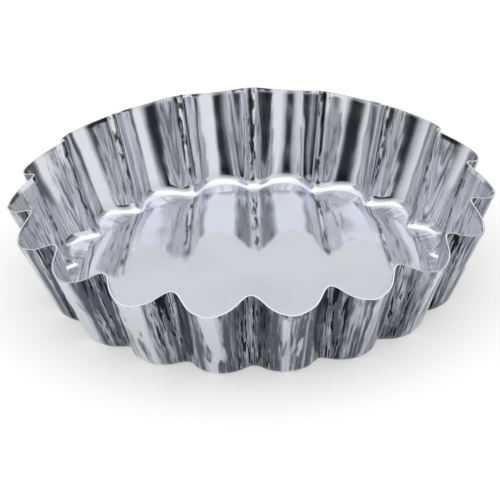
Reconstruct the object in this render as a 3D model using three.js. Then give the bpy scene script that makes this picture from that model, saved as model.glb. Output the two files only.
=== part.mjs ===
// Round fluted tartlet mould with a loose base, in millimetres.
// The frame is +Z up, with the tin's axis on Z and its foot standing on z = 0.
// A pressed tinplate ring makes the fluted wall and turns in at the foot as a flat seat.
// A flat disc lies loose on that seat and is pushed up to free the baked tartlet.

import * as THREE from "three";

// Rim: the outermost edge of the wall. Lobes bow outwards and creases press inwards.
const FLUTE_COUNT = 18;
const RIM_RADIUS = 50; // outside face, over the lobes
const RIM_FLUTE_DEPTH = 4.5; // from a lobe in to a crease
const LOBE_HEIGHT = 17.7; // rim above the ground at a lobe
const CREASE_HEIGHT = 20.5; // rim above the ground at a crease, where the sheet is pulled up

// Foot: where the outside of the wall would meet the ground if the corner were sharp.
const FOOT_RADIUS = 41.8; // over the lobes
const FOOT_FLUTE_DEPTH = 3.1; // from a lobe in to a crease

// Flute section: with both at 0 the wall is a plain cosine wave.
const LOBE_FULLNESS = 0.2; // broad lobes and narrow creases
const CROWN_ROUND = 0.06; // keeps the broad lobes round instead of flat

// Sheet metal of the ring
const RING_SHEET = 0.35; // thickness
const BEND_RADIUS = 2.5; // inside radius of the corner between the seat and the wall
const SEAT_WIDTH = 4.5; // how far the seat reaches in under the loose base

// Loose base
const BASE_SHEET = 0.4; // thickness
const BASE_CLEARANCE = 0.3; // gap round the base at the creases' corners
const BASE_EDGE_BREAK = 0.1; // chamfer that takes the burr off the disc's edge

// Facets
const STEPS_PER_FLUTE = 12;
const BEND_STEPS = 4;
const BASE_STEPS = 108;

const BRIGHT_TINPLATE = { color: 0xc9ccd6, roughness: 0.18, metalness: 1 };
const MIRROR_TINPLATE = { color: 0xcdd0d8, roughness: 0.08, metalness: 1 };

const FULL_TURN = Math.PI * 2;
const CREASE_ANGLE = Math.PI / FLUTE_COUNT; // the first crease lies half a flute from +X

// Height of the flute wave at an angle round the tin: 1 on a lobe and -1 in a crease.
function fluteWave(angle) {
  const phase = FLUTE_COUNT * angle;
  const fuller = LOBE_FULLNESS * (1 - Math.cos(2 * phase));
  const rounder = CROWN_ROUND * (Math.cos(3 * phase) - Math.cos(phase));
  return Math.cos(phase) + fuller + rounder;
}

// A size that runs from its value at a lobe to its value in a crease.
function alongFlute(angle, atLobe, atCrease) {
  const crease = (1 - fluteWave(angle)) / 2;
  return atLobe + (atCrease - atLobe) * crease;
}

// The corner at an angle: the turn from the flat seat up into the leaning wall.
function cornerAt(angle) {
  const rimRadius = alongFlute(angle, RIM_RADIUS, RIM_RADIUS - RIM_FLUTE_DEPTH);
  const rimHeight = alongFlute(angle, LOBE_HEIGHT, CREASE_HEIGHT);
  const footRadius = alongFlute(angle, FOOT_RADIUS, FOOT_RADIUS - FOOT_FLUTE_DEPTH);
  const lean = Math.atan2(rimRadius - footRadius, rimHeight);
  const outerBend = BEND_RADIUS + RING_SHEET;
  const seatEnd = footRadius - outerBend * Math.tan(Math.PI / 4 - lean / 2);
  const turn = Math.PI / 2 - lean;
  return { rimRadius, rimHeight, turn, outerBend, seatEnd };
}

const BASE_RADIUS = cornerAt(CREASE_ANGLE).seatEnd - BASE_CLEARANCE;
const OPENING_RADIUS = BASE_RADIUS - SEAT_WIDTH;

// The ring's outside face cut by a half plane through the axis, from the seat's opening to the rim.
// Each point has its radius, its height and the slope of the face there.
function outsideSection(angle) {
  const { rimRadius, rimHeight, turn, outerBend, seatEnd } = cornerAt(angle);
  const points = [{ radius: OPENING_RADIUS, height: 0, slope: 0 }];
  for (let step = 0; step <= BEND_STEPS; step++) {
    const slope = (turn * step) / BEND_STEPS;
    const radius = seatEnd + outerBend * Math.sin(slope);
    const height = outerBend * (1 - Math.cos(slope));
    points.push({ radius, height, slope });
  }
  points.push({ radius: rimRadius, height: rimHeight, slope: turn });
  return points;
}

// A section point placed at its angle round the axis.
function placed(point, angle) {
  return new THREE.Vector3(
    point.radius * Math.cos(angle),
    point.radius * Math.sin(angle),
    point.height,
  );
}

// One closed loop round the sheet at an angle: up the outside face, over the rim and back down inside.
// The inside face lies one sheet thickness from the outside face, measured square to the fluted surface.
function sheetLoop(angle) {
  const smallTurn = CREASE_ANGLE / 1000;
  const ahead = outsideSection(angle + smallTurn);
  const behind = outsideSection(angle - smallTurn);
  const outside = [];
  const inside = [];
  outsideSection(angle).forEach((point, index) => {
    const upFace = new THREE.Vector3(
      Math.cos(point.slope) * Math.cos(angle),
      Math.cos(point.slope) * Math.sin(angle),
      Math.sin(point.slope),
    );
    const aroundFace = placed(ahead[index], angle + smallTurn).sub(
      placed(behind[index], angle - smallTurn),
    );
    const outward = aroundFace.cross(upFace).normalize();
    const onOutside = placed(point, angle);
    outside.push(onOutside);
    inside.push(onOutside.clone().addScaledVector(outward, -RING_SHEET));
  });
  return [...outside, ...inside.reverse()];
}

// The ring: sheet loops all the way round, skinned into one closed shell.
function flutedRingGeometry() {
  const columns = FLUTE_COUNT * STEPS_PER_FLUTE;
  const loops = [];
  for (let column = 0; column < columns; column++) {
    loops.push(sheetLoop((FULL_TURN * column) / columns));
  }
  const rows = loops[0].length;
  const faces = [];
  for (let column = 0; column < columns; column++) {
    const here = column * rows;
    const next = ((column + 1) % columns) * rows;
    for (let row = 0; row < rows; row++) {
      const above = (row + 1) % rows;
      faces.push(here + row, next + row, next + above);
      faces.push(here + row, next + above, here + above);
    }
  }
  const geometry = new THREE.BufferGeometry().setFromPoints(loops.flat());
  geometry.setIndex(faces);
  geometry.computeVertexNormals();
  return geometry;
}

// The base: a flat stamped disc, turned from its half section with both edges broken.
function looseBaseGeometry() {
  const halfSection = [
    new THREE.Vector2(0, 0),
    new THREE.Vector2(BASE_RADIUS - BASE_EDGE_BREAK, 0),
    new THREE.Vector2(BASE_RADIUS, BASE_EDGE_BREAK),
    new THREE.Vector2(BASE_RADIUS, BASE_SHEET - BASE_EDGE_BREAK),
    new THREE.Vector2(BASE_RADIUS - BASE_EDGE_BREAK, BASE_SHEET),
    new THREE.Vector2(0, BASE_SHEET),
  ];
  return new THREE.LatheGeometry(halfSection, BASE_STEPS).rotateX(Math.PI / 2);
}

function piece(name, geometry, finish) {
  const mesh = new THREE.Mesh(geometry, new THREE.MeshStandardMaterial(finish));
  mesh.name = name;
  return mesh;
}

const flutedRing = piece("fluted_ring", flutedRingGeometry(), BRIGHT_TINPLATE);

const looseBase = piece("loose_base", looseBaseGeometry(), MIRROR_TINPLATE);
looseBase.position.z = RING_SHEET; // lies on top of the ring's seat

const tartletMould = new THREE.Group();
tartletMould.add(flutedRing, looseBase);

export default tartletMould;
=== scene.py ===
# Fluted tartlet mould in bright tinplate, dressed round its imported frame. Metres, +Z up.
import math

import bmesh
import bpy
from mathutils import Matrix, Vector


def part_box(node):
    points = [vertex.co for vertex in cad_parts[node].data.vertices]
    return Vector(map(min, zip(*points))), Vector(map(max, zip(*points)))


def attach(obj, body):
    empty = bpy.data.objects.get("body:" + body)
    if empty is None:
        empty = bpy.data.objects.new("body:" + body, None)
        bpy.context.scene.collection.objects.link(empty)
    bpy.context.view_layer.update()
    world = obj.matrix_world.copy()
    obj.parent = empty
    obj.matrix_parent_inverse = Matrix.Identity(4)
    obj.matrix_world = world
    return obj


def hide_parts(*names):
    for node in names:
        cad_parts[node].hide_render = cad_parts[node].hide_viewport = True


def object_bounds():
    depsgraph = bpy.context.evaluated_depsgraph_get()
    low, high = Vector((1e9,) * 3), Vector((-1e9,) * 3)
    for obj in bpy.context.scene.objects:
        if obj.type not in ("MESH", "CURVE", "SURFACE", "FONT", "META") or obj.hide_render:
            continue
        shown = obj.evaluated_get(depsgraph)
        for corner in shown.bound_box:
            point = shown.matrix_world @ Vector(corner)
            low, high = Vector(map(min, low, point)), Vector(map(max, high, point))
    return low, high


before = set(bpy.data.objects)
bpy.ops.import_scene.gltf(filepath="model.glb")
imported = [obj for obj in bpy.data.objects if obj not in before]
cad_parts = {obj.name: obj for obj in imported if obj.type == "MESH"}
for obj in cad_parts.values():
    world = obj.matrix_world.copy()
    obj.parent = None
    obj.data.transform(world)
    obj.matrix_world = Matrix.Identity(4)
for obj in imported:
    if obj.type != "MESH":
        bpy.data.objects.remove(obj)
cad_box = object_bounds()
ring_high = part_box("fluted_ring")[1]
base_low, base_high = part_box("loose_base")

MM = 0.001

# Sizes that the frame gives
RIM_RADIUS = ring_high.x
RING_SHEET = base_low.z  # the base lies on top of the ring's seat
BASE_RADIUS = base_high.x

# Sizes of the fluted ring that lie inside its box
FLUTE_COUNT = 18
RIM_FLUTE_DEPTH = 4.5 * MM
LOBE_HEIGHT = 17.7 * MM
CREASE_HEIGHT = 20.5 * MM
FOOT_RADIUS = 41.8 * MM
FOOT_FLUTE_DEPTH = 3.1 * MM
LOBE_FULLNESS = 0.2
CROWN_ROUND = 0.06
BEND_RADIUS = 2.5 * MM
SEAT_WIDTH = 4.5 * MM
OPENING_RADIUS = BASE_RADIUS - SEAT_WIDTH

# Rounding of the sheets' edges
CUT_EDGE_ROUND = 0.06 * MM
CUT_EDGE_ANGLE = math.radians(60)  # edges sharper than this are rounded
BASE_EDGE_ROUND = 0.09 * MM

# Fineness of the meshes
STEPS_PER_FLUTE = 48
SEAT_ROWS = 4
BEND_ROWS = 10
WALL_ROWS = 16
CUT_EDGE_STEPS = 2
BASE_STEPS = 256
BASE_EDGE_STEPS = 3
BASE_LOOPS = (0.5, 0.9)  # on each flat face, as shares of the radius
BASE_SMOOTH_ANGLE = math.radians(35)
JOIN_DISTANCE = 0.001 * MM

# The small unevenness that pressing leaves in the sheet
FLUTE_WANDER = 0.22  # radians of a flute's turn
FLUTE_UNEVEN = 0.12  # share of a flute's depth
DRAW_LINE_HEIGHT = 0.01 * MM
DENT_HEIGHT = 0.2 * MM
WRINKLE_HEIGHT = 0.02 * MM  # beside the creases
MARKS_RISE = 4.0  # the marks reach their full height at a quarter of the wall
PRESS_SEED = 7.0
PRESS_DETAIL = 1.0

# Grain of each unevenness: fineness round the tin, fineness up the wall, and its own seed
WANDER_GRAIN = (5.0, 0.0, 0.0)
UNEVEN_GRAIN = (4.0, 0.2, 20.0)
DRAW_LINE_GRAIN = (30.0, 0.5, 40.0)
DENT_GRAIN = (9.0, 3.0, 60.0)
WRINKLE_GRAIN = (34.0, 3.0, 80.0)

# Colours of the tinplate, with a painted highlight for the outside's crowns and painted shade for its
# valleys
TIN = (0.603, 0.619, 0.667)
DRAWN_TIN = (0.716, 0.736, 0.783)
# painted highlight: the outside's crowns are lighter, standing in for the lit floor that they mirror
CROWN_HIGHLIGHT = (0.665, 0.682, 0.715)
FRESH_CUT = (0.6, 0.615, 0.645)
# painted shade: the outside's valleys are far darker, standing in for the shadowed floor that they
# mirror
VALLEY_SHADE = (0.092, 0.106, 0.138)
# dark stain, also used for the painted shade and painted dark reflections inside the ring
STAIN_AND_SHADE = (0.075, 0.08, 0.09)
# black for the flecks and the dashes
BLACK_MARKS = (0.012, 0.013, 0.015)

# Streaks that run up the ring: fineness round the tin, fineness per metre of height, seed, detail
SLOW_STREAKS = (3.2, 12.0, 5.0, 2.0)
COARSE_STREAKS = (16.0, 110.0, 57.0, 2.0)
BROAD_STREAKS = (45.0, 45.0, 3.0, 3.0)
FINE_STREAKS = (95.0, 210.0, 11.0, 3.0)
BOLD_STREAKS = (62.0, 120.0, 23.0, 2.0)
HAIRLINES = (420.0, 60.0, 19.0, 2.0)
DASHES = (60.0, 420.0, 31.0, 2.0)
STREAK_MIDDLE = 0.5  # the middle of a streak's range

# Where each mark on the ring starts and where it is full
OUTSIDE_FADE = (-0.15, 0.15)  # as the face turns from the axis to the outside
UPWARD_FADE = (0.35, 0.75)  # as the face turns up
UPRIGHT_FADE = (0.02, 0.16)  # up the wall, as is the next
RIM_FADE = (0.9, 0.98)
VALLEY_FADE = (0.15, 0.5)  # into the crease, as are the next two
PATCH_FADE = (0.3, 0.7)
CREASE_LINE_FADE = (0.95, 0.985)
CORNER_START = (0.05, 0.3)  # round the bend, as are the next two
CORNER_END = (0.75, 1.0)
CORNER_SHADE_FADE = (0.55, 0.95)
VALLEY_SHADE_FADE = (0.05, 0.14)  # with the amount of painted shade
CROWN_DIM_FADE = (0.45, 0.54)  # with the height of a streak, as are the rest
MOTTLE_FADE = (0.44, 0.62)
FLECK_FADE = (0.56, 0.61)
BOLD_FLECK_FADE = (0.6, 0.63)
BLOTCH_FADE = (0.54, 0.62)
DASH_FADE = (0.5, 0.56)

# Painted shade on the ring's outside, in the valleys and more towards +X: what each thing adds to it
SIDE_SHADE = 0.06  # towards +X
SIDE_SHADE_LIMIT = 0.3  # how far towards +X it grows
SLOW_SHADE = 0.5
BROAD_SHADE = 0.24
FINE_SHADE = 0.08
CROWN_SIDE_SHADE = 0.12
MOTTLE_FINE_SHARE = 0.45
VALLEY_BRIGHTNESS = 0.68  # share of drawn tin in the brightest mottling

# Strength of the marks, the painted shade and the painted reflections on the ring's inside
FLECK_STAIN = 0.5
PATCH_DARKNESS = 0.3
CORNER_SHADE_STRENGTH = 0.15
CORNER_SHADE_FALL = 9.0  # the corner's painted shade ends at a ninth of the wall
DASH_BLACK = 0.9

# Smudges and hairline scratches on the base
SMUDGES_PER_METRE = 45.0
SMUDGE_DETAIL = 3.0
SMUDGE_FADE = (0.45, 0.8)
SMUDGE_STAIN = 0.12
SCRATCH_ACROSS = (900.0, 500.0)  # fineness per metre of X and of Y, across the scratches
SCRATCH_ALONG = (-30.0, 60.0)  # and along them
SCRATCH_DETAIL = 2.0
SCRATCH_FADE = (0.62, 0.7)

# Roughness of the bright sheet, and what each thing adds to it
BRIGHT_ROUGHNESS = 0.06
CORNER_ROUGHNESS = 0.1
WALL_ROUGHNESS = 0.05
HAIRLINE_ROUGHNESS = 0.06
SCORED_ROUGHNESS = 0.09
SMUDGE_ROUGHNESS = 0.04
SCRATCH_ROUGHNESS = 0.03

# Relief of the fine lines on the ring
RELIEF_STRENGTH = 0.5
RELIEF_HEIGHT = 0.01 * MM
HAIRLINE_RELIEF = 0.05
STREAK_RELIEF = 0.2

# Camera, found by fitting the rim, the foot and the rim's mirror image to the photograph
CAMERA_DISTANCE = 1.0
CAMERA_AZIMUTH = math.radians(1.0)
CAMERA_ELEVATION = math.radians(28.6)
CAMERA_ROLL = math.radians(-2.13)
CAMERA_LENS = 350.3
CAMERA_NEAR = 0.01
CAMERA_FAR = 50.0
SENSOR_WIDTH = 36.0
IMAGE_SIZE = 500
AIM = Vector((0, 0, 8 * MM))
AIM_PIXEL = Vector((252.6, 241.1))  # where AIM falls in the image, from its upper left corner

# White studio with one softbox
WHITE = (1, 1, 1, 1)
STUDIO_STRENGTH = 1.0
SOFTBOX_POWER = 4.0
SOFTBOX_SIZE = (1.5, 1.7)
SOFTBOX_PLACE = (0, 0.45, 1.2)

# Floor
FLOOR_GREY = (0.5, 0.5, 0.5)  # white in the picture, with the light and the glow on it
FLOOR_GLOW = 0.5  # added where the floor is seen or mirrored, so the shadow stays light
FLOOR_ROUGHNESS = 0.9
FLOOR_HALF_SIZE = 4.0
FLOOR_GAP = 0.02 * MM  # keeps the floor off the tin's underside

# Black curtains: degrees and cover of the cloth, first round the tin from -Y and then up from the floor
CURTAINS = {
    "front_curtain": (
        [
            (-80, 0.0), (-60, 0.2), (-45, 0.5), (-33, 0.88), (-22, 0.99),
            (0, 0.99), (8, 0.84), (16, 0.42), (30, 0.0),
        ],
        [(1, 0.85), (8, 1.0), (23, 1.0), (30, 0.65), (38, 0.45), (48, 0.28), (64, 0.0)],
    ),
    "right_curtain": (
        [(68, 0.0), (85, 0.95), (120, 0.95), (145, 0.0)],
        [(1, 0.95), (22, 0.95), (34, 0.65), (48, 0.55), (57, 0.0)],
    ),
    "left_curtain": (
        [(-140, 0.0), (-120, 0.88), (-90, 0.88), (-72, 0.0)],
        [(1, 0.9), (14, 0.8), (26, 0.5), (48, 0.6), (57, 0.0)],
    ),
}
CURTAIN_RADIUS = 1.6
CURTAIN_STEPS = 24
CURTAIN_BLACK = (0.009, 0.013, 0.02)
CURTAIN_ROUGHNESS = 1.0

# Inputs of the fluted sheet's Geometry Nodes tree
RING_INPUTS = {
    "Flutes": FLUTE_COUNT,
    "Steps per flute": STEPS_PER_FLUTE,
    "Seat rows": SEAT_ROWS,
    "Bend rows": BEND_ROWS,
    "Wall rows": WALL_ROWS,
    "Rim radius": RIM_RADIUS,
    "Rim flute depth": RIM_FLUTE_DEPTH,
    "Lobe height": LOBE_HEIGHT,
    "Crease height": CREASE_HEIGHT,
    "Foot radius": FOOT_RADIUS,
    "Foot flute depth": FOOT_FLUTE_DEPTH,
    "Lobe fullness": LOBE_FULLNESS,
    "Crown round": CROWN_ROUND,
    "Outer bend radius": BEND_RADIUS + RING_SHEET,
    "Opening radius": OPENING_RADIUS,
    "Flute wander": FLUTE_WANDER,
    "Flute uneven": FLUTE_UNEVEN,
    "Draw line height": DRAW_LINE_HEIGHT,
    "Dent height": DENT_HEIGHT,
    "Wrinkle height": WRINKLE_HEIGHT,
    "Seed": PRESS_SEED,
}
SOCKET_KINDS = {int: "NodeSocketInt", float: "NodeSocketFloat"}


class Field:
    """One value in a node tree. Arithmetic on it adds math nodes to that tree."""

    def __init__(self, tree, socket):
        self.tree = tree
        self.socket = socket

    def apply(self, operation, *others):
        node = self.tree.nodes.new("ShaderNodeMath")
        node.operation = operation
        for place, value in zip(node.inputs, (self, *others)):
            plug(self.tree, value, place)
        return Field(self.tree, node.outputs[0])

    def __add__(self, other):
        return self.apply("ADD", other)

    def __sub__(self, other):
        return self.apply("SUBTRACT", other)

    def __mul__(self, other):
        return self.apply("MULTIPLY", other)

    def __truediv__(self, other):
        return self.apply("DIVIDE", other)

    def __rsub__(self, other):
        return self * -1 + other

    __radd__ = __add__
    __rmul__ = __mul__

    def cos(self):
        return self.apply("COSINE")

    def sin(self):
        return self.apply("SINE")

    def tan(self):
        return self.apply("TANGENT")

    def held(self):
        """This value kept between 0 and 1."""
        return self.apply("MAXIMUM", 0.0).apply("MINIMUM", 1.0)


# Nodes and objects


def plug(tree, value, place):
    """Sets an input to a number, or links a field or socket to it."""
    if isinstance(value, Field):
        tree.links.new(value.socket, place)
    elif isinstance(value, bpy.types.NodeSocket):
        tree.links.new(value, place)
    else:
        place.default_value = value


def add_node(tree, kind, inputs=None, **settings):
    """A new node with its settings, and its inputs set or linked by name."""
    node = tree.nodes.new(kind)
    for name, value in settings.items():
        setattr(node, name, value)
    for name, value in (inputs or {}).items():
        plug(tree, value, node.inputs[name])
    return node


def vector_of(tree, x, y, z):
    return add_node(tree, "ShaderNodeCombineXYZ", {"X": x, "Y": y, "Z": z}).outputs[0]


def split_vector(tree, socket):
    node = add_node(tree, "ShaderNodeSeparateXYZ", {"Vector": socket})
    return [Field(tree, output) for output in node.outputs]


def noise_at(tree, spot, detail):
    """Smooth noise from 0 to 1."""
    inputs = {"Vector": spot, "Scale": 1.0, "Detail": detail}
    return Field(tree, add_node(tree, "ShaderNodeTexNoise", inputs).outputs[0])


def step_up(value, fade):
    """0 where the fade starts, 1 where it is full, and smooth between them."""
    start, full = fade
    inputs = {"Value": value, "From Min": start, "From Max": full}
    node = add_node(value.tree, "ShaderNodeMapRange", inputs, interpolation_type="SMOOTHSTEP")
    return Field(value.tree, node.outputs["Result"])


def mix_colour(tree, share, first, second):
    """From the first colour at share 0 to the second at share 1."""
    node = add_node(tree, "ShaderNodeMix", {"Factor": share}, data_type="RGBA")
    places = [socket for socket in node.inputs if socket.type == "RGBA"]
    for place, colour in zip(places, (first, second)):
        plug(tree, (*colour, 1) if isinstance(colour, tuple) else colour, place)
    return next(socket for socket in node.outputs if socket.type == "RGBA")


def add_object(name, data):
    """A new object at the origin, linked to the scene."""
    made = bpy.data.objects.new(name, data)
    bpy.context.scene.collection.objects.link(made)
    return made


def direction(azimuth, elevation):
    """The way out from the tin. Azimuth 0 looks along -Y and grows towards +X."""
    level = math.cos(elevation)
    return Vector((level * math.sin(azimuth), -level * math.cos(azimuth), math.sin(elevation)))


# Fluted ring


def flute_surface(tree, given, angle, row):
    """Place in the flute and position of the ring's outside face, by angle and row of its section."""
    seat_share = (row / given["Seat rows"]).held()
    bend_share = ((row - given["Seat rows"]) / given["Bend rows"]).held()
    wall_share = ((row - given["Seat rows"] - given["Bend rows"]) / given["Wall rows"]).held()

    def uneven(grain):
        """Smooth noise from -1 to 1 that closes on itself round the tin."""
        around, along, own_seed = grain
        seed = given["Seed"] + own_seed
        spot = vector_of(tree, angle.cos() * around, angle.sin() * around, wall_share * along + seed)
        return noise_at(tree, spot, PRESS_DETAIL) * 2 - 1

    # Flute rule: crease is 0 on a lobe and 1 in a crease
    phase = angle * given["Flutes"] + uneven(WANDER_GRAIN) * given["Flute wander"]
    wave = phase.cos() + given["Lobe fullness"] * (1 - (phase * 2).cos())
    wave = wave + given["Crown round"] * ((phase * 3).cos() - phase.cos())
    crease = (1 - wave) * 0.5
    depth = crease * (1 + uneven(UNEVEN_GRAIN) * given["Flute uneven"])

    # Section: the flat seat, the bend and the leaning wall
    rim_radius = given["Rim radius"] - given["Rim flute depth"] * depth
    rim_height = given["Lobe height"] + (given["Crease height"] - given["Lobe height"]) * depth
    foot_radius = given["Foot radius"] - given["Foot flute depth"] * crease
    lean = (rim_radius - foot_radius).apply("ARCTAN2", rim_height)
    bend = given["Outer bend radius"]
    seat_end = foot_radius - bend * (math.pi / 4 - lean * 0.5).tan()
    turn = math.pi / 2 - lean
    bend_end_radius = seat_end + bend * turn.sin()
    bend_end_height = bend * (1 - turn.cos())
    slope = turn * bend_share
    radius = given["Opening radius"] + (seat_end - given["Opening radius"]) * seat_share
    radius = radius + bend * slope.sin() + (rim_radius - bend_end_radius) * wall_share
    height = bend * (1 - slope.cos()) + (rim_height - bend_end_height) * wall_share

    # Marks of the press on the wall
    marks = uneven(DRAW_LINE_GRAIN) * given["Draw line height"]
    marks = marks + uneven(DENT_GRAIN) * given["Dent height"]
    marks = marks + uneven(WRINKLE_GRAIN) * crease * given["Wrinkle height"]
    radius = radius + marks * (wall_share * MARKS_RISE).held()

    flute_place = vector_of(tree, crease, wall_share, bend_share)
    position = vector_of(tree, radius * angle.cos(), radius * angle.sin(), height)
    return flute_place, position


def fluted_sheet_tree(finish):
    """Geometry Nodes tree that bends a grid of angle by section into the ring's outside face."""
    tree = bpy.data.node_groups.new("fluted_sheet", "GeometryNodeTree")
    tree.interface.new_socket(name="Geometry", in_out="OUTPUT", socket_type="NodeSocketGeometry")
    for name, value in RING_INPUTS.items():
        tree.interface.new_socket(name=name, in_out="INPUT", socket_type=SOCKET_KINDS[type(value)])
    sockets = tree.nodes.new("NodeGroupInput").outputs
    given = {socket.name: Field(tree, socket) for socket in sockets if socket.name}
    columns = given["Flutes"] * given["Steps per flute"]
    rows = given["Seat rows"] + given["Bend rows"] + given["Wall rows"]
    grid = add_node(
        tree,
        "GeometryNodeMeshGrid",
        {"Size X": 1.0, "Size Y": 1.0, "Vertices X": columns + 1, "Vertices Y": rows + 1},
    )
    across, up, _ = split_vector(tree, add_node(tree, "GeometryNodeInputPosition").outputs[0])
    angle = (across + 0.5) * math.tau
    row = (up + 0.5) * rows
    flute_place, position = flute_surface(tree, given, angle, row)

    mapped = add_node(
        tree,
        "GeometryNodeStoreNamedAttribute",
        {"Geometry": grid.outputs["Mesh"], "Name": "flute_map", "Value": grid.outputs["UV Map"]},
        data_type="FLOAT2",
        domain="CORNER",
    )
    placed = add_node(
        tree,
        "GeometryNodeStoreNamedAttribute",
        {"Geometry": mapped.outputs[0], "Name": "flute_place", "Value": flute_place},
        data_type="FLOAT_VECTOR",
        domain="POINT",
    )
    steps = [
        ("GeometryNodeSetPosition", {"Position": position}),
        ("GeometryNodeMergeByDistance", {"Distance": JOIN_DISTANCE}),
        ("GeometryNodeSetShadeSmooth", {}),
        ("GeometryNodeRealizeInstances", {}),
        ("GeometryNodeSetMaterial", {"Material": finish}),
    ]
    last = placed
    for kind, inputs in steps:
        last = add_node(tree, kind, {"Geometry": last.outputs[0], **inputs})
    tree.links.new(last.outputs[0], tree.nodes.new("NodeGroupOutput").inputs[0])
    return tree


def apply_modifiers(piece):
    """Replaces a piece's mesh by what its modifiers make of it."""
    evaluated = piece.evaluated_get(bpy.context.evaluated_depsgraph_get())
    mesh = bpy.data.meshes.new_from_object(evaluated)
    piece.modifiers.clear()
    piece.data = mesh


def mesh_from_tree(name, tree, values):
    """A plain mesh object that holds what a Geometry Nodes tree makes of these input values."""
    piece = add_object(name, bpy.data.meshes.new(name))
    modifier = piece.modifiers.new(tree.name, "NODES")
    modifier.node_group = tree
    for item in tree.interface.items_tree:
        if item.in_out == "INPUT":
            modifier[item.identifier] = values[item.name]
    apply_modifiers(piece)
    piece.data.name = name
    return piece


def make_fluted_ring(finish):
    """The fluted face made into a sheet, with its cut edges rounded."""
    ring = mesh_from_tree("ring_sheet", fluted_sheet_tree(finish), RING_INPUTS)
    sheet = ring.modifiers.new("sheet", "SOLIDIFY")
    sheet.thickness = RING_SHEET
    sheet.offset = -1  # inwards from the outside face
    sheet.use_even_offset = True
    cut_edges = ring.modifiers.new("cut_edges", "BEVEL")
    cut_edges.width = CUT_EDGE_ROUND
    cut_edges.segments = CUT_EDGE_STEPS
    cut_edges.limit_method = "ANGLE"
    cut_edges.angle_limit = CUT_EDGE_ANGLE
    apply_modifiers(ring)
    ring.data.shade_smooth()
    return ring


# Loose base


def make_loose_base(finish):
    """A flat disc turned from its half section, with rounded edges."""
    low = base_low.z
    high = base_high.z
    loops = [BASE_RADIUS * share for share in BASE_LOOPS]
    section = [(0, low)]
    section += [(radius, low) for radius in loops]
    rounded_edges = ((-math.pi / 2, low + BASE_EDGE_ROUND), (0, high - BASE_EDGE_ROUND))
    for first_turn, centre_height in rounded_edges:
        for step in range(BASE_EDGE_STEPS + 1):
            turn = first_turn + math.pi / 2 * step / BASE_EDGE_STEPS
            radius = BASE_RADIUS - BASE_EDGE_ROUND + BASE_EDGE_ROUND * math.cos(turn)
            section.append((radius, centre_height + BASE_EDGE_ROUND * math.sin(turn)))
    section += [(radius, high) for radius in reversed(loops)]
    section.append((0, high))

    disc = bmesh.new()
    points = [disc.verts.new((radius, 0, height)) for radius, height in section]
    edges = [disc.edges.new(pair) for pair in zip(points, points[1:])]
    bmesh.ops.spin(
        disc,
        geom=points + edges,
        axis=(0, 0, 1),
        cent=(0, 0, 0),
        angle=math.tau,
        steps=BASE_STEPS,
    )
    bmesh.ops.remove_doubles(disc, verts=disc.verts, dist=JOIN_DISTANCE)
    bmesh.ops.recalc_face_normals(disc, faces=disc.faces)
    mesh = bpy.data.meshes.new("base_disc")
    disc.to_mesh(mesh)
    disc.free()
    mesh.shade_smooth()
    mesh.set_sharp_from_angle(angle=BASE_SMOOTH_ANGLE)
    mesh.materials.append(finish)
    return add_object("base_disc", mesh)


# Finishes


def new_material(name):
    material = bpy.data.materials.new(name)
    material.use_nodes = True
    return material, material.node_tree, material.node_tree.nodes["Principled BSDF"]


def tin_material(name):
    """Bare metal."""
    tin, tree, shader = new_material(name)
    plug(tree, 1.0, shader.inputs["Metallic"])
    return tin, tree, shader


def matt_material(name, colour, roughness):
    """A surface with no sheen."""
    matt, tree, shader = new_material(name)
    plug(tree, (*colour, 1), shader.inputs["Base Color"])
    plug(tree, roughness, shader.inputs["Roughness"])
    plug(tree, 0.0, shader.inputs["Specular IOR Level"])
    return matt, tree, shader


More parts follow.
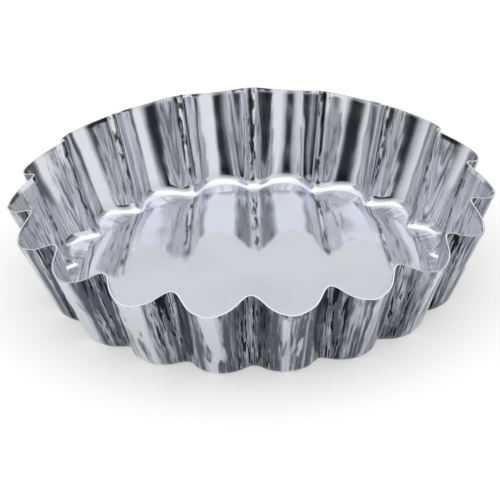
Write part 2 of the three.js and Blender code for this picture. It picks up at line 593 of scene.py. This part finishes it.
def drawn_tinplate():
    """Bright pressed sheet with lines drawn up the flutes; outside, a painted highlight on the crowns
    and painted shade in the duller valleys.
    """
    tin, tree, shader = tin_material("ring_tinplate")
    coords = add_node(tree, "ShaderNodeTexCoord")
    x, y, z = split_vector(tree, coords.outputs["Object"])
    normal_x, normal_y, normal_z = split_vector(tree, coords.outputs["Normal"])
    radius = (x * x + y * y).apply("SQRT")
    around_x = x / radius
    around_y = y / radius
    flute_place = add_node(tree, "ShaderNodeAttribute", attribute_name="flute_place")
    crease, wall, bend = split_vector(tree, flute_place.outputs["Vector"])

    def streaks(kind):
        fineness, per_metre, seed, detail = kind
        spot = vector_of(tree, around_x * fineness, around_y * fineness, z * per_metre + seed)
        return noise_at(tree, spot, detail)

    broad = streaks(BROAD_STREAKS)
    fine = streaks(FINE_STREAKS)
    upright = step_up(wall, UPRIGHT_FADE)
    hairlines = streaks(HAIRLINES) * upright
    in_valley = step_up(crease, VALLEY_FADE)
    flecks = step_up(fine, FLECK_FADE) * in_valley

    # Outside: painted highlight on the crowns, and painted shade in the duller, mottled valleys with
    # black flecks
    # painted shade: the valleys outside are darker, with more of it towards +X
    side = around_x.apply("MINIMUM", SIDE_SHADE_LIMIT)
    shade_amount = crease + side * SIDE_SHADE
    for streak, shading in ((streaks(SLOW_STREAKS), SLOW_SHADE), (broad, BROAD_SHADE), (fine, FINE_SHADE)):
        shade_amount = shade_amount + (streak - STREAK_MIDDLE) * shading
    dull_and_shaded = step_up(shade_amount, VALLEY_SHADE_FADE)
    mottled = step_up(fine * MOTTLE_FINE_SHARE + broad * (1 - MOTTLE_FINE_SHARE), MOTTLE_FADE)
    shaded_valley = mix_colour(tree, mottled * VALLEY_BRIGHTNESS, VALLEY_SHADE, DRAWN_TIN)
    crown_dimmed = step_up(streaks(COARSE_STREAKS) + side * CROWN_SIDE_SHADE, CROWN_DIM_FADE)
    # painted highlight on the crowns, dimmed along coarse streaks
    crown_highlight = mix_colour(tree, crown_dimmed, CROWN_HIGHLIGHT, shaded_valley)
    bold_flecks = step_up(streaks(BOLD_STREAKS), BOLD_FLECK_FADE) * in_valley
    outer = mix_colour(tree, dull_and_shaded, crown_highlight, shaded_valley)
    outer = mix_colour(tree, (flecks + bold_flecks).held(), outer, BLACK_MARKS)

    # Inside: drawn metal with painted shade in the corner, painted dark reflections beside the creases,
    # dark flecks, and black dashes down the creases
    # painted reflections: dark blotches beside the creases inside
    dark_reflection_patches = step_up(broad, BLOTCH_FADE) * step_up(crease, PATCH_FADE)
    # painted shade in the corner of the bend, fading up the wall
    corner_shade = step_up(bend, CORNER_SHADE_FADE) * (1 - wall * CORNER_SHADE_FALL).held()
    stains_and_shade = (flecks * FLECK_STAIN + dark_reflection_patches * PATCH_DARKNESS) * upright
    stains_and_shade = (stains_and_shade + corner_shade * CORNER_SHADE_STRENGTH).held()
    dashes = step_up(crease, CREASE_LINE_FADE) * step_up(streaks(DASHES), DASH_FADE) * upright
    inner = mix_colour(tree, stains_and_shade, DRAWN_TIN, STAIN_AND_SHADE)
    inner = mix_colour(tree, dashes * DASH_BLACK, inner, BLACK_MARKS)

    # Both faces, and the raw cut edge between them at the rim
    outside = step_up(normal_x * around_x + normal_y * around_y, OUTSIDE_FADE)
    cut_edge = step_up(normal_z, UPWARD_FADE) * step_up(wall, RIM_FADE)
    faces = mix_colour(tree, outside, inner, outer)
    plug(tree, mix_colour(tree, cut_edge, faces, FRESH_CUT), shader.inputs["Base Color"])

    scored = outside * dull_and_shaded * (1 - cut_edge)
    corner = step_up(bend, CORNER_START) * (1 - step_up(bend, CORNER_END))
    roughness = BRIGHT_ROUGHNESS + corner * CORNER_ROUGHNESS + upright * WALL_ROUGHNESS
    roughness = roughness + hairlines * HAIRLINE_ROUGHNESS + scored * SCORED_ROUGHNESS
    plug(tree, roughness, shader.inputs["Roughness"])
    relief = hairlines * HAIRLINE_RELIEF + fine * upright * STREAK_RELIEF
    bump = add_node(
        tree,
        "ShaderNodeBump",
        {"Strength": RELIEF_STRENGTH, "Distance": RELIEF_HEIGHT, "Height": relief},
    )
    plug(tree, bump.outputs[0], shader.inputs["Normal"])
    return tin


def mirror_tinplate():
    """Flat bright sheet: close to a mirror, with faint smudges and hairline scratches."""
    tin, tree, shader = tin_material("base_tinplate")
    x, y, z = split_vector(tree, add_node(tree, "ShaderNodeTexCoord").outputs["Object"])
    smudge_spot = vector_of(tree, x * SMUDGES_PER_METRE, y * SMUDGES_PER_METRE, z)
    smudged = step_up(noise_at(tree, smudge_spot, SMUDGE_DETAIL), SMUDGE_FADE)
    across, along = (x * per_x + y * per_y for per_x, per_y in (SCRATCH_ACROSS, SCRATCH_ALONG))
    scratch_spot = vector_of(tree, across, along, z)
    scratched = step_up(noise_at(tree, scratch_spot, SCRATCH_DETAIL), SCRATCH_FADE)
    plug(tree, mix_colour(tree, smudged * SMUDGE_STAIN, TIN, STAIN_AND_SHADE), shader.inputs["Base Color"])
    roughness = BRIGHT_ROUGHNESS + smudged * SMUDGE_ROUGHNESS + scratched * SCRATCH_ROUGHNESS
    plug(tree, roughness, shader.inputs["Roughness"])
    return tin


# Stage


def make_camera():
    camera = add_object("camera", bpy.data.cameras.new("camera"))
    camera.data.lens = CAMERA_LENS
    camera.data.sensor_width = SENSOR_WIDTH
    camera.data.clip_start = CAMERA_NEAR
    camera.data.clip_end = CAMERA_FAR
    back = direction(CAMERA_AZIMUTH, CAMERA_ELEVATION)
    turn = (-back).to_track_quat("-Z", "Y").to_matrix() @ Matrix.Rotation(CAMERA_ROLL, 3, "Z")
    metres_per_pixel = CAMERA_DISTANCE * SENSOR_WIDTH / CAMERA_LENS / IMAGE_SIZE
    off_centre = (AIM_PIXEL - Vector((IMAGE_SIZE / 2, IMAGE_SIZE / 2))) * metres_per_pixel
    sideways = turn @ Vector((-off_centre.x, off_centre.y, 0))
    place = AIM + sideways + back * CAMERA_DISTANCE
    camera.matrix_world = Matrix.Translation(place) @ turn.to_4x4()
    bpy.context.scene.camera = camera


def make_floor():
    """A floor that looks white and keeps the tin's shadow."""
    level = cad_box[0].z - FLOOR_GAP
    corners = [(-1, -1), (1, -1), (1, 1), (-1, 1)]
    mesh = bpy.data.meshes.new("floor")
    points = [(x * FLOOR_HALF_SIZE, y * FLOOR_HALF_SIZE, level) for x, y in corners]
    mesh.from_pydata(points, [], [(0, 1, 2, 3)])
    paint, tree, shader = matt_material("floor_white", FLOOR_GREY, FLOOR_ROUGHNESS)
    rays = add_node(tree, "ShaderNodeLightPath")
    seen = Field(tree, rays.outputs["Is Camera Ray"])
    mirrored = Field(tree, rays.outputs["Is Glossy Ray"])
    plug(tree, WHITE, shader.inputs["Emission Color"])
    plug(tree, (seen + mirrored).held() * FLOOR_GLOW, shader.inputs["Emission Strength"])
    mesh.materials.append(paint)
    add_object("floor", mesh)


def curtain_sheet(name, sides, heights):
    """A sheet on a sphere round the tin, between sides and heights in degrees, mapped from 0 to 1."""
    shares = [step / CURTAIN_STEPS for step in range(CURTAIN_STEPS + 1)]
    azimuths = [math.radians(sides[0] + (sides[1] - sides[0]) * share) for share in shares]
    elevations = [math.radians(heights[0] + (heights[1] - heights[0]) * share) for share in shares]
    sheet = bmesh.new()
    layer = sheet.loops.layers.uv.new("curtain_map")
    rows = []
    for up, elevation in zip(shares, elevations):
        row = []
        for across, azimuth in zip(shares, azimuths):
            point = sheet.verts.new(direction(azimuth, elevation) * CURTAIN_RADIUS)
            row.append((point, (across, up)))
        rows.append(row)
    for low_row, high_row in zip(rows, rows[1:]):
        for left in range(CURTAIN_STEPS):
            right = left + 1
            corners = (low_row[left], low_row[right], high_row[right], high_row[left])
            face = sheet.faces.new([point for point, _ in corners])
            for loop, (_, mapped) in zip(face.loops, corners):
                loop[layer].uv = mapped
    mesh = bpy.data.meshes.new(name)
    sheet.to_mesh(mesh)
    sheet.free()
    return mesh


def ramp(value, stops):
    """A smooth curve through (degrees, height) stops, which lie from 0 to 1 along the value."""
    node = add_node(value.tree, "ShaderNodeValToRGB", {"Fac": value})
    node.color_ramp.interpolation = "EASE"
    elements = node.color_ramp.elements
    while len(elements) < len(stops):
        elements.new(0.5)
    first = stops[0][0]
    last = stops[-1][0]
    for element, (degrees, height) in zip(elements, stops):
        element.position = (degrees - first) / (last - first)
        element.color = (height, height, height, 1)
    return Field(value.tree, node.outputs["Color"])


def curtain_cloth(name, across_stops, up_stops):
    """Black cloth whose edges fade, as a curtain far out of focus does."""
    cloth, tree, shader = matt_material(name, CURTAIN_BLACK, CURTAIN_ROUGHNESS)
    mapped = add_node(tree, "ShaderNodeUVMap", uv_map="curtain_map").outputs[0]
    across, up, _ = split_vector(tree, mapped)
    plug(tree, ramp(across, across_stops) * ramp(up, up_stops), shader.inputs["Alpha"])
    return cloth


def make_curtains():
    """Black curtains for the metal to mirror, out of the picture: one behind the camera, two beside."""
    for name, (across_stops, up_stops) in CURTAINS.items():
        sides, heights = ((stops[0][0], stops[-1][0]) for stops in (across_stops, up_stops))
        curtain = add_object(name, curtain_sheet(name, sides, heights))
        curtain.visible_camera = False
        curtain.visible_diffuse = False
        curtain.data.materials.append(curtain_cloth(name, across_stops, up_stops))


def make_softbox():
    """One large soft light above the tin and a little behind it, out of the picture."""
    light = bpy.data.lights.new("softbox", "AREA")
    light.shape = "RECTANGLE"
    light.size, light.size_y = SOFTBOX_SIZE
    light.energy = SOFTBOX_POWER
    softbox = add_object("softbox", light)
    softbox.location = SOFTBOX_PLACE
    softbox.visible_camera = False


def make_studio():
    """White light from all round."""
    studio = bpy.data.worlds.new("studio")
    studio.use_nodes = True
    background = studio.node_tree.nodes["Background"]
    background.inputs["Color"].default_value = WHITE
    background.inputs["Strength"].default_value = STUDIO_STRENGTH
    bpy.context.scene.world = studio


make_camera()
make_floor()
make_curtains()
make_softbox()
make_studio()
bpy.context.scene.view_settings.view_transform = "Standard"

ring_finish = drawn_tinplate()
base_finish = mirror_tinplate()

ring = make_fluted_ring(ring_finish)
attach(ring, "ring")
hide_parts("fluted_ring")

base = make_loose_base(base_finish)
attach(base, "base")
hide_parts("loose_base")
